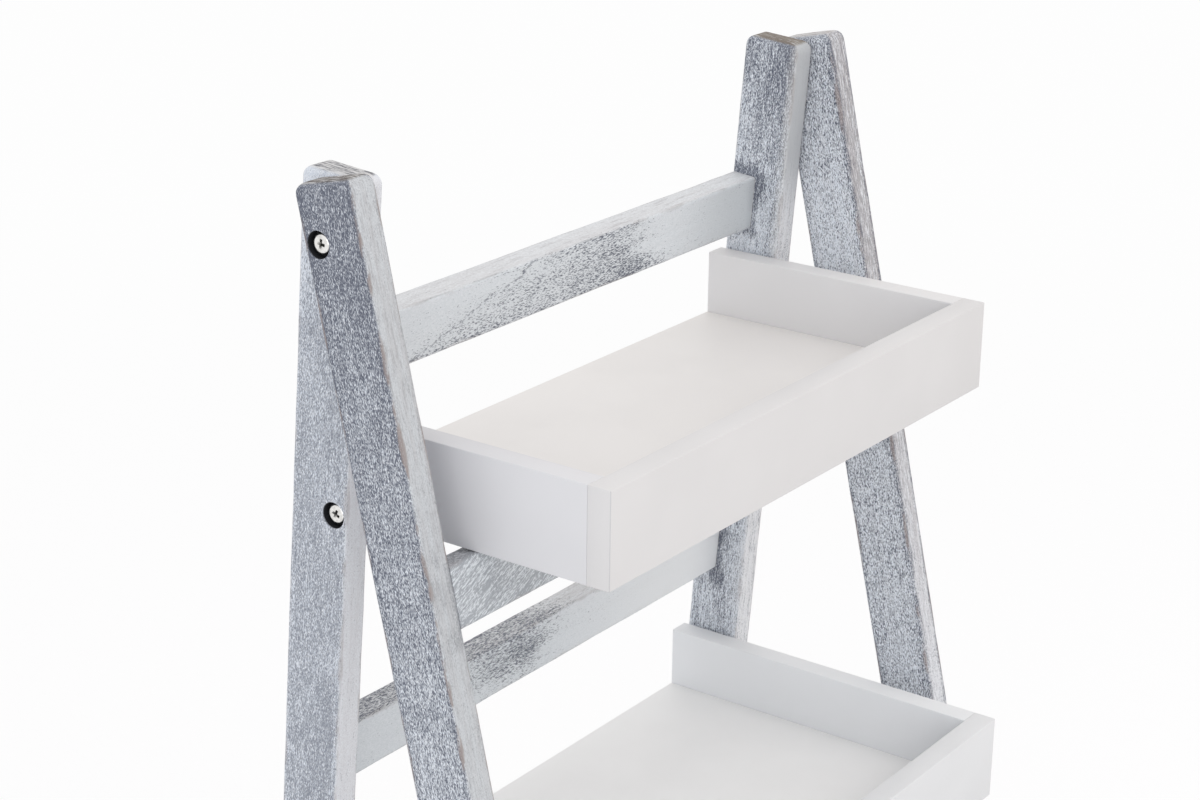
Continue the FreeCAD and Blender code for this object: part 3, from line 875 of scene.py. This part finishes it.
    # what the finish needs to know about each point
    x, y, z = splitPosition(tree)
    gapX, gapY = faceGaps(x, y)
    headGap = minus(tree, length, z)
    offEnds = minus(tree, calc(tree, "MINIMUM", z, headGap), boardDetail["boreMargin"])
    inBoard = calc(tree, "MINIMUM", calc(tree, "MINIMUM", gapX, gapY), offEnds)
    blend = boardDetail["faceBlend"]
    notes = {
        "edgeGap": calc(tree, "MAXIMUM", gapX, gapY),
        "narrowFace": ramp(tree, minus(tree, gapY, gapX), -blend, blend),
        "across": x,
        "headGap": headGap,
        "boreDepth": ramp(tree, inBoard, *boardDetail["boreRange"]),
    }
    for name, value in notes.items():
        board = storeNote(tree, board, name, value)
    ownCoord = vector(tree, plus(tree, x, seed), y, plus(tree, z, seed))
    board = storeNote(tree, board, "boardCoord", ownCoord, "FLOAT_VECTOR")
    endTree(tree, board, given["Material"], out["Board"])
    return tree


boardTree = makeBoardTree()


# a board's own axes in its frame: z along the grain, x across the wide face
def boardAxes(longWay, wideWay):
    along, across = Vector(longWay), Vector(wideWay)
    return Matrix((across, along.cross(across), along)).transposed().to_4x4()


# the CAD node's extent along the axes of a board
def ownBox(node, axes):
    back = axes.inverted()
    spots = [back @ vertex.co for vertex in frame["nodes"][node].data.vertices]
    low = Vector(min(spot[i] for spot in spots) for i in range(3))
    high = Vector(max(spot[i] for spot in spots) for i in range(3))
    return low, high


stickShape = {
    "frontLean": -13.2,
    "rearLean": 4.4,
    "edgeRadius": 1.5 * mm,
    "aroundStep": 1.0 * mm,
    "legRings": 190,
    "railRings": 110,
    "headRound": 7.0 * mm,
    "headEase": 4.0 * mm,
    "unevenness": 0.22 * mm,
    "dentSize": 16 * mm,
    "boreDiameter": 15.4 * mm,
    "boreDepth": 6.0 * mm,
    "railBury": 0.4 * mm,
    "cornerDeep": 2 * mm,
    "creaseAngle": 38,
    "legSeeds": (1.3, 2.1),
    "railSeeds": (11.7, 1.9),
}


def leanFrame(place):
    return Matrix.Translation(hinge) @ Matrix.Rotation(math.radians(stickShape[place + "Lean"]), 4, "X")


def seedOf(seeds, number):
    first, step = stickShape[seeds]
    return first + step * number


def stickMesh(name, size, bores, seed, material, more):
    values = {
        "Width": size.x,
        "Thickness": size.y,
        "Length": size.z,
        "Edge Radius": stickShape["edgeRadius"],
        "Around Step": stickShape["aroundStep"],
        "Unevenness": stickShape["unevenness"],
        "Dent Size": stickShape["dentSize"],
        "Seed": seed,
        "Bore Diameter": stickShape["boreDiameter"],
        "Bore Depth": stickShape["boreDepth"],
        "Material": material,
    }
    mesh = runTree(name, boardTree, bores, {**values, **more})
    tidyMesh(mesh, stickShape["creaseAngle"])
    return mesh


def buildLeg(side, place, seed):
    node = f"{side}_{place}_leg"
    name = f"{side}{place.title()}Leg"
    axes = leanFrame(place) @ boardAxes((0, 0, 1), (0, 1, 0))
    low, high = ownBox(node, axes)
    foot = axes.inverted() @ Vector((0, 0, 0))
    up = axes.to_3x3().inverted() @ Vector((0, 0, 1))
    middleX, middleY = (low.x + high.x) / 2, (low.y + high.y) / 2
    slope = -up.x / up.z
    footZ = foot.z + slope * (middleX - foot.x)
    origin = axes @ Matrix.Translation((middleX, middleY, footZ))
    size = Vector((high.x - low.x, high.y - low.y, high.z - footZ))
    outerFace = -outward[side] * size.y / 2
    screws = [hinge] if place == "front" else [jointAt[f"{tier}_tray_tilt"] for tier in tiers]
    spots = [origin.inverted() @ screw for screw in screws]
    bores = [(spot.x, outerFace, spot.z) for spot in spots]
    corners = []
    for tier in tiers:
        lowRail, highRail = ownBox(f"{tier}_{place}_rail", origin)
        middle, half = (lowRail + highRail) / 2, (highRail - lowRail) / 2
        centre = (middle.x + seed, -outerFace, middle.z + seed)
        corners.append((centre, (half.x, stickShape["cornerDeep"], half.z)))
    material = whitewashedWood("whitewash_" + name, woodFinish[name], corners=corners)
    mesh = stickMesh(name, size, bores, seed, material, {
        "Rings": stickShape["legRings"],
        "Head Round": stickShape["headRound"],
        "Head Ease": stickShape["headEase"],
        "Foot Slope": slope,
    })
    mesh.transform(origin)
    addPiece(name, mesh, node)


# the bare stretch of each rail: its borders in metres from the rail's right end, how bare it is, how far it
# keeps off the lower edge, the line along its border, the bare part of the top, the painted light and shade at
# the right end, the grain's turn
railPatches = {
    "top_rear": {
        "left": 0.300, "right": 0.130, "slant": 3.4, "bare": 0.60, "lift": 0.0, "line": 0.6,
        "topFrom": 0.6, "topBare": 0.0, "endLightShade": (0.440, 0.466, 0.482), "endLightBlend": 0.55, "endReach": 0.11,
        "fibre": 0.14, "depth": 0.90, "turn": 0.0,
    },
    "middle_rear": {
        "left": 0.290, "right": 0.205, "slant": -0.8, "bare": 0.64, "lift": 0.7, "line": 0.0,
        "topFrom": 0.17, "topBare": 0.66, "endLightShade": (0.900, 0.910, 0.915), "endLightBlend": 0.85, "endReach": 0.22,
        "fibre": 0.14, "depth": 0.88, "turn": 0.0,
    },
    "bottom_rear": {
        "left": 0.330, "right": 0.150, "slant": 2.0, "bare": 0.56, "lift": 0.2, "line": 0.5,
        "topFrom": 0.3, "topBare": 0.3, "endLightShade": (0.780, 0.790, 0.800), "endLightBlend": 0.40, "endReach": 0.15,
        "fibre": 0.20, "depth": 0.88, "turn": 6.0,
    },
    "top_front": {
        "left": 0.620, "right": 0.300, "slant": -2.2, "bare": 0.86, "lift": 0.0, "line": 0.0,
        "topFrom": 0.33, "topBare": 0.85, "endLightShade": (0.600, 0.610, 0.620), "endLightBlend": 0.30, "endReach": 0.15,
        "fibre": 1.1, "depth": 0.52, "turn": -22.0,
    },
    "middle_front": {
        "left": 0.290, "right": 0.080, "slant": 2.6, "bare": 0.54, "lift": 0.1, "line": 0.5,
        "topFrom": 0.25, "topBare": 0.4, "endLightShade": (0.700, 0.710, 0.720), "endLightBlend": 0.30, "endReach": 0.12,
        "fibre": 0.4, "depth": 0.80, "turn": 8.0,
    },
    "bottom_front": {
        "left": 0.360, "right": 0.170, "slant": -2.0, "bare": 0.54, "lift": 0.3, "line": 0.4,
        "topFrom": 0.28, "topBare": 0.3, "endLightShade": (0.780, 0.790, 0.800), "endLightBlend": 0.30, "endReach": 0.16,
        "fibre": 0.5, "depth": 0.80, "turn": -10.0,
    },
}


def buildRail(tier, place, seed):
    node = f"{tier}_{place}_rail"
    name = f"{tier}{place.title()}Rail"
    axes = leanFrame(place) @ boardAxes((1, 0, 0), (0, 0, 1))
    low, high = ownBox(node, axes)
    bury = Vector((0, 0, stickShape["railBury"]))
    origin = axes @ Matrix.Translation(((low.x + high.x) / 2, (low.y + high.y) / 2, low.z - bury.z))
    patch = railPatches[f"{tier}_{place}"]
    grain = {"fibre": patch["fibre"], "footFibre": patch["fibre"], "depth": patch["depth"]}
    material = whitewashedWood("whitewash_" + name, {**woodFinish["rail"], **grain}, patch=patch)
    size = high - low + 2 * bury
    mesh = stickMesh(name, size, [], seed, material, {"Rings": stickShape["railRings"]})
    mesh.transform(origin)
    addPiece(name, mesh, node)


for i, place in enumerate(("front", "rear")):
    for j, side in enumerate(outward):
        buildLeg(side, place, seedOf("legSeeds", 2 * i + j))
    for j, tier in enumerate(tiers):
        buildRail(tier, place, seedOf("railSeeds", 3 * i + j))
print("legs and rails built")

# sprayed white paint: faint cloudiness and a fine orange-peel skin, with painted shade in the joints
paint = {
    "walls": (0.752, 0.741, 0.742),
    # left side walls cooler and bluer than the other walls: painted cool shade
    "leftWallsShaded": (0.748, 0.747, 0.768),
    # right side walls lighter than the other walls: painted light on their inner faces
    "rightWallsLit": (0.786, 0.778, 0.780),
    # tray floors lighter and warmer than the walls: partly their own tone, partly painted light from above
    "floor": (0.868, 0.848, 0.832),
    # each tray's paint a little lighter, darker or cooler: painted light, the middle tray lit more and cooler
    # than the top
    "tierLightShades": {"top": (0.985, 0.978, 0.970), "middle": (1.030, 1.050, 1.060), "bottom": (1.008, 1.014, 1.015)},
    "cloudTone": 0.975,
    "tones": {"waves": (0.012, 0.012, 0.012), "detail": 3.0, "roughness": 0.5},
    "toneRange": (0.35, 0.65),
    "rough": (0.38, 0.16),
    "relief": {"waves": (0.45, 0.45, 0.45), "detail": 2.0, "roughness": 0.5, "shift": 5.0},
    "bump": (0.06, 0.15 * mm),
    "plain": {"Specular IOR Level": 0.4},
    "seamShade": (0.340, 0.345, 0.375),
    "seamShadeCover": 0.8,
    "cornerLineShade": 0.45,
}


# a skin of two tones: one noise gives the tone and the roughness, another the relief
def makeSkin(name, look):
    inputs = {"Coord": "Vector", "Tint": "Color", "Shade": "Color"}
    outputs = {"Color": "Color", "Height": "Float", "Roughness": "Float"}
    tree, given, out = newGroup(name, "ShaderNodeTree", inputs, outputs)
    tones = stretchedNoise(tree, given["Coord"], **look["tones"])
    shaded = ramp(tree, tones, *look["toneRange"])
    base, gain = look["rough"]
    linkOut(tree, out, {
        "Color": blendColour(tree, shaded, given["Tint"], given["Shade"]),
        "Height": stretchedNoise(tree, given["Coord"], **look["relief"]),
        "Roughness": plusShare(tree, base, tones, gain),
    })
    return tree


paintGroup = makeSkin("sprayedPaint", paint)


def paintedWood(name, tint):
    material, tree, shader = newMaterial(name, paint["plain"])
    shade = (paint["cloudTone"] * part for part in tint)
    skin = useGroup(tree, paintGroup, {"Coord": objectCoord(tree), "Tint": (*tint, 1), "Shade": (*shade, 1)})
    # darker along the seams between boards: painted shade in the joints
    seamShaded = times(tree, readAttribute(tree, "seam")["Fac"], paint["seamShadeCover"])
    colour = blendColour(tree, seamShaded, skin["Color"], paint["seamShade"])
    dressShader(tree, shader, colour, skin["Roughness"], skin["Height"], paint["bump"])
    return material


paintMaterials = {}
for tier, shade in paint["tierLightShades"].items():
    for name in ("walls", "leftWallsShaded", "rightWallsLit", "floor"):
        tint = tuple(part * share for part, share in zip(paint[name], shade))
        paintMaterials[tier, name] = paintedWood(f"white_paint_{tier}_{name}", tint)

# tray boards: the finish of each, and the face that meets its neighbour, by axis and end
trayParts = {
    "left_side": {"finish": "leftWallsShaded", "seam": (1, -1)},
    "right_side": {"finish": "rightWallsLit", "seam": (1, -1)},
    "front_board": {"finish": "walls", "seam": (1, 1)},
    "floor": {"finish": "floor", "seam": (2, 1)},
}
trayShape = {
    "edgeRound": 0.6 * mm,
    "roundSteps": 3,
    "seamShare": 0.75,
    "seamGap": 0.02 * mm,
    "cornerLineShare": 0.9,
    "creaseAngle": 40,
}


# a board with rounded free edges; those of its seam face are rounded less
def buildTrayBoard(tier, part):
    node = f"{tier}_tray_{part}"
    low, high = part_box(node)
    axis, end = trayParts[part]["seam"]
    work = bmesh.new()
    bmesh.ops.create_cube(work, size=1.0)
    weights = work.edges.layers.float.new("bevel_weight_edge")
    for edge in work.edges:
        inSeam = part == "floor" or all(vertex.co[axis] * end > 0 for vertex in edge.verts)
        edge[weights] = trayShape["seamShare"] if inSeam else 1.0
    for vertex in work.verts:
        vertex.co = Vector(high[i] if vertex.co[i] > 0 else low[i] for i in range(3))
    maker = newMaker(node)
    work.to_mesh(maker.data)
    work.free()
    rounding = maker.modifiers.new("rounding", "BEVEL")
    rounding.limit_method = "WEIGHT"
    rounding.width = trayShape["edgeRound"]
    rounding.segments = trayShape["roundSteps"]
    board = plainMesh(maker, node)
    board.materials.append(paintMaterials[tier, trayParts[part]["finish"]])
    tidyMesh(board, trayShape["creaseAngle"])
    seamAt = high[axis] if end > 0 else low[axis]
    cornerLineReach = trayShape["edgeRound"] * trayShape["cornerLineShare"]
    # seam marks where the board meets its neighbour, for the painted seam shade
    seam = board.attributes.new("seam", "FLOAT", "POINT")
    for vertex, mark in zip(board.vertices, seam.data):
        mark.value = float(part != "floor" and abs(vertex.co[axis] - seamAt) < trayShape["seamGap"])
        # the front board's front corner edges take a lighter share of the same painted shade, as a thin dark
        # line
        atEnd = min(vertex.co.x - low[0], high[0] - vertex.co.x) < cornerLineReach
        if part == "front_board" and atEnd and vertex.co.y - low[1] < cornerLineReach:
            mark.value = paint["cornerLineShade"]
    addPiece(tier + "Tray" + part.title().replace("_", ""), board, node)


for tier in tiers:
    for part in trayParts:
        buildTrayBoard(tier, part)
print("trays built")


# bright metal: fine drawn lines and dull spots, on screws and inserts
metal = {
    "zinc_screw": {"tint": (0.86, 0.85, 0.83), "dull": (0.68, 0.67, 0.65)},
    "steel_insert": {"tint": (0.62, 0.60, 0.57), "dull": (0.45, 0.44, 0.42)},
    # near black deep in a screw's cross recess: painted shade
    "recessShade": (0.06, 0.06, 0.06),
    "tones": {"waves": (0.5, 0.5, 0.5), "detail": 3.0, "roughness": 0.6, "shift": 9.0},
    "toneRange": (0.4, 0.7),
    "rough": (0.12, 0.25),
    "relief": {"waves": (0.4, 5.0, 5.0), "detail": 2.0, "roughness": 0.5},
    "bump": (0.05, 0.05 * mm),
    "plain": {"Metallic": 1.0},
}
metalGroup = makeSkin("drawnMetal", metal)


def brightMetal(name):
    material, tree, shader = newMaterial(name, metal["plain"])
    tint, dull = metal[name]["tint"], metal[name]["dull"]
    skin = useGroup(tree, metalGroup, {"Coord": objectCoord(tree), "Tint": (*tint, 1), "Shade": (*dull, 1)})
    # painted shade deep in the screw recesses, from the mesh's note
    colour = blendColour(tree, readAttribute(tree, "recessShade")["Fac"], skin["Color"], metal["recessShade"])
    dressShader(tree, shader, colour, skin["Roughness"], skin["Height"], metal["bump"])
    return material


zinc = brightMetal("zinc_screw")

# pan-head screws with a cross recess: sizes in metres, one tree for all of them
screwShape = {
    "Head Radius": 6.05 * mm,
    "Head Height": 3.8 * mm,
    "Head Round": 2.0 * mm,
    "Recess Span": 5.6 * mm,
    "Recess Width": 1.7 * mm,
    "Recess Depth": 2.2 * mm,
    "Shank Radius": 2.5 * mm,
    "Thread Pitch": 0.8 * mm,
    "Thread Depth": 0.35 * mm,
}
screwDetail = {
    "head": {"Vertices": 48, "Side Segments": 4, "Fill Segments": 14},
    "bar": {"Vertices X": 2, "Vertices Y": 2, "Vertices Z": 3},
    "shank": {"Vertices": 24, "Side Segments": 200},
    "taperFrom": -2 * mm,
    "taperShare": 0.35,
    "recessShadeRange": (-1.2 * mm, -0.1 * mm),
    "recessShadeSpan": 0.6,
    "shankFrom": 0.98,
    "creaseAngle": 35,
}


def makeScrewTree():
    tree, given, out = newGroup("panScrew", "GeometryNodeTree", {
        "Heads": "Geometry",
        **screwShape,
        "Shank Length": 0.03,
        "Seed": 0,
        "Material": "Material",
    }, {"Screws": "Geometry"})
    radius, height, span = given["Head Radius"], given["Head Height"], given["Recess Span"]

    def fromAxis(x, y):
        return vectorCalc(tree, "LENGTH", vector(tree, x, y, 0.0))

    # head: its top lies at the point, its rings crowd towards the rounded rim
    disc = {**screwDetail["head"], "Radius": radius, "Depth": height}
    head = addNode(tree, "GeometryNodeMeshCylinder", disc, fill_type="TRIANGLE_FAN").outputs["Mesh"]
    x, y, z = splitPosition(tree)
    share = over(tree, fromAxis(x, y), radius)
    spread = calc(tree, "SINE", times(tree, share, math.pi / 2))
    grow = over(tree, spread, calc(tree, "MAXIMUM", share, 0.0001))
    gap = times(tree, minus(tree, 1.0, spread), radius)
    upper = plus(tree, over(tree, z, height), 0.5)
    drop = times(tree, quarterRound(tree, gap, given["Head Round"]), upper)
    low = times(tree, minus(tree, upper, 1.0), height)
    head = setPosition(tree, head, times(tree, x, grow), times(tree, y, grow), minus(tree, low, drop))

    # recess: two crossed tapered bars, cut out of the head
    cut = addNode(tree, "GeometryNodeMeshBoolean", {"Mesh 1": head}, operation="DIFFERENCE", solver="EXACT")
    size = vector(tree, span, given["Recess Width"], times(tree, given["Recess Depth"], 2.0))
    bar = addNode(tree, "GeometryNodeMeshCube", {"Size": size, **screwDetail["bar"]}).outputs["Mesh"]
    x, y, z = splitPosition(tree)
    taper = ramp(tree, z, screwDetail["taperFrom"], 0.0, screwDetail["taperShare"], 1.0)
    bar = setPosition(tree, bar, times(tree, x, taper), y, z)
    for turn in (0.0, math.pi / 2):
        turned = addNode(tree, "GeometryNodeTransform", {"Geometry": bar, "Rotation": (0, 0, turn)}).outputs[0]
        tree.links.new(turned, cut.inputs["Mesh 2"])
    # darker towards the bottom of the cross recess: painted shade
    x, y, z = splitPosition(tree)
    inRecess = calc(tree, "LESS_THAN", fromAxis(x, y), times(tree, span, screwDetail["recessShadeSpan"]))
    recessShade = times(tree, ramp(tree, z, *screwDetail["recessShadeRange"], 1.0, 0.0), inRecess)
    head = storeNote(tree, cut.outputs[0], "recessShade", recessShade)

    # shank with a helical thread, from the head's underside down to the tip
    shankRadius, length = given["Shank Radius"], given["Shank Length"]
    rod = {**screwDetail["shank"], "Radius": shankRadius, "Depth": length}
    shank = addNode(tree, "GeometryNodeMeshCylinder", rod).outputs["Mesh"]
    x, y, z = splitPosition(tree)
    turns = over(tree, calc(tree, "ARCTAN2", y, x), 2 * math.pi)
    phase = calc(tree, "FRACT", minus(tree, over(tree, z, given["Thread Pitch"]), turns))
    valley = calc(tree, "ABSOLUTE", plusShare(tree, -1.0, phase, 2.0))
    narrow = minus(tree, 1.0, over(tree, times(tree, valley, given["Thread Depth"]), shankRadius))
    hung = minus(tree, z, times(tree, length, 0.5))
    hung = minus(tree, hung, times(tree, height, screwDetail["shankFrom"]))
    shank = setPosition(tree, shank, times(tree, x, narrow), times(tree, y, narrow), hung)
    whole = addNode(tree, "GeometryNodeJoinGeometry")
    tree.links.new(head, whole.inputs[0])
    tree.links.new(shank, whole.inputs[0])

    # heads face outwards on both sides, each turned its own way
    side = calc(tree, "SIGN", splitPosition(tree)[0])
    facing = vector(tree, 0.0, times(tree, side, math.pi / 2), 0.0)
    placed = {"Points": given["Heads"], "Instance": whole.outputs[0], "Rotation": facing}
    screws = addNode(tree, "GeometryNodeInstanceOnPoints", placed).outputs[0]
    index = addNode(tree, "GeometryNodeInputIndex").outputs[0]
    draw = {2: 0.0, 3: math.pi / 2, "ID": index, "Seed": given["Seed"]}    # 2 and 3: least and most
    luck = addNode(tree, "FunctionNodeRandomValue", draw, data_type="FLOAT").outputs[1]
    spun = {"Instances": screws, "Rotation": vector(tree, 0.0, 0.0, luck), "Local Space": True}
    screws = addNode(tree, "GeometryNodeRotateInstances", spun).outputs[0]
    endTree(tree, screws, given["Material"], out["Screws"])
    return tree


screwTree = makeScrewTree()


def buildScrews(name, node, axis, seed):
    reach = [abs(vertex.co.x) for vertex in frame["nodes"][node].data.vertices]
    heads = [(sign * max(reach), axis.y, axis.z) for sign in outward.values()]
    length = max(reach) - min(reach) - screwDetail["shankFrom"] * screwShape["Head Height"]
    values = {**screwShape, "Shank Length": length, "Seed": seed, "Material": zinc}
    mesh = runTree(name, screwTree, heads, values)
    tidyMesh(mesh, screwDetail["creaseAngle"])
    addPiece(name, mesh, node)


buildScrews("hingeScrews", "hinge_screws", hinge, 3)
for i, tier in enumerate(tiers):
    buildScrews(tier + "PivotScrews", f"{tier}_tray_pivot_screws", jointAt[f"{tier}_tray_tilt"], 5 + i)
print("screws built")


# small parts that keep their CAD shape: turned beech and moulded nylon share a grain, each with its own stretch
smallParts = {
    "beech_dowel": {
        "tint": (0.60, 0.43, 0.27), "dark": (0.44, 0.29, 0.17), "stretch": (0.05, 0.9, 0.9), "plain": {},
    },
    "nylon_washer": {
        "tint": (0.80, 0.79, 0.75), "dark": (0.72, 0.71, 0.67), "stretch": (0.3, 0.3, 0.3),
        "plain": {"Subsurface Weight": 0.05},
    },
}
grainLook = {
    "tones": {"waves": (1.0, 1.0, 1.0), "detail": 3.0, "roughness": 0.6},
    "toneRange": (0.35, 0.65),
    "rough": (0.42, 0.2),
    "relief": {"waves": (1.0, 1.0, 1.0), "detail": 3.0, "roughness": 0.6},
    "bump": (0.1, 0.1 * mm),
}
grainGroup = makeSkin("plainGrain", grainLook)


def grainedPart(name):
    values = smallParts[name]
    material, tree, shader = newMaterial(name, values["plain"])
    skin = useGroup(tree, grainGroup, {
        "Coord": vectorCalc(tree, "MULTIPLY", objectCoord(tree), values["stretch"]),
        "Tint": (*values["tint"], 1),
        "Shade": (*values["dark"], 1),
    })
    dressShader(tree, shader, skin["Color"], skin["Roughness"], skin["Height"], grainLook["bump"])
    return material


slotMaterials = {"zinc_screw": zinc, "steel_insert": brightMetal("steel_insert")}
for name in smallParts:
    slotMaterials[name] = grainedPart(name)
for row in frame["record"]["subparts"]:
    if row["node"].endswith(("dowels", "washers", "inserts")):
        node = frame["nodes"][row["node"]]
        node.data.materials.clear()
        node.data.materials.append(slotMaterials[row["material_slot"]])
print("small parts finished")
